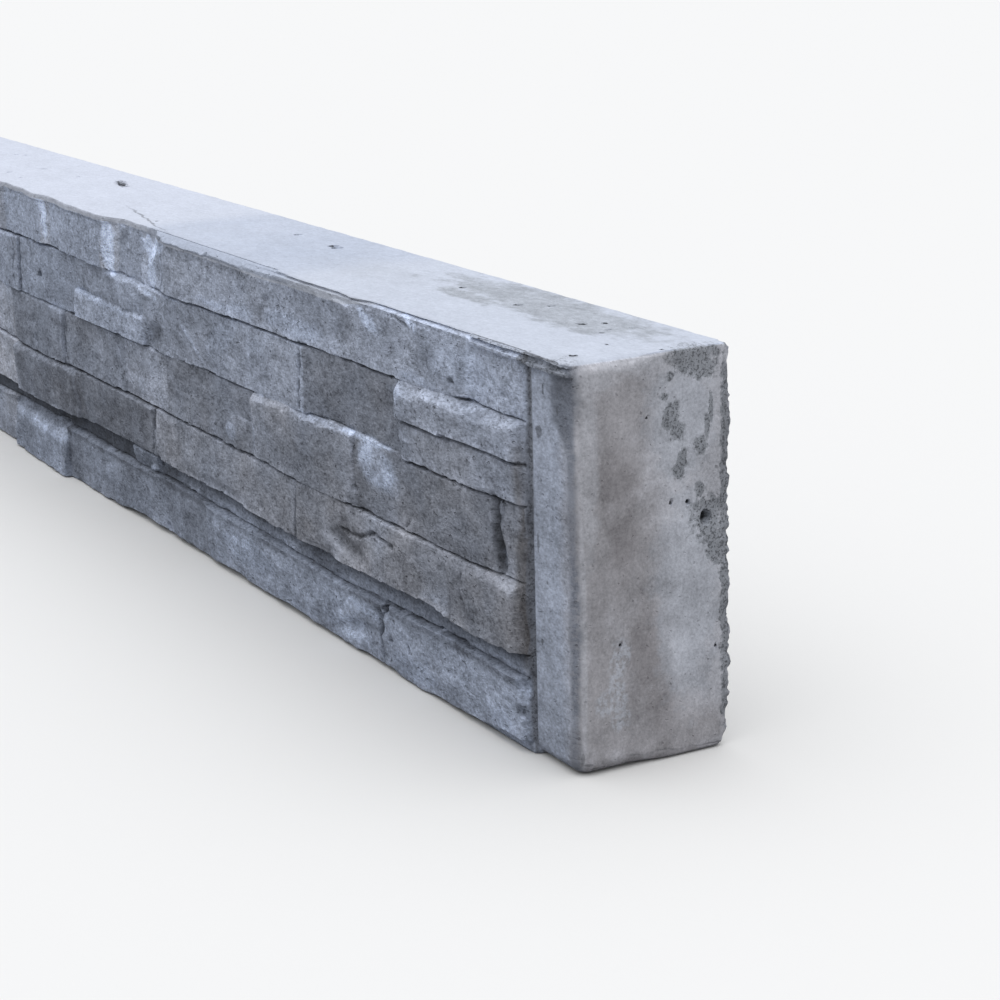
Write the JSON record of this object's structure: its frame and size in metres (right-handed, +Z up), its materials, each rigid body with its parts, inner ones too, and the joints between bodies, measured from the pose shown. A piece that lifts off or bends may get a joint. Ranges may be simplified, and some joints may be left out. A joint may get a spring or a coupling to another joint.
{
  "type": "concrete sleeper",
  "caption": "Precast concrete retaining-wall sleeper standing on its long edge, with a stacked-stone face between smooth end tongues that slot into steel posts.",
  "frame": {"origin": "under the middle of the sleeper's box, on the level of its bottom edge", "axes": "+X along the sleeper, -Y out of the stone face and +Y out of the plain back, +Z up as the sleeper stands on its long edge in a wall"},
  "size_m": [2, 0.097, 0.2],
  "materials": {
    "cast_concrete": "matt cast concrete"
  },
  "bodies": {
    "root": {"concrete_sleeper": "cast_concrete"}
  },
  "joints": []
}
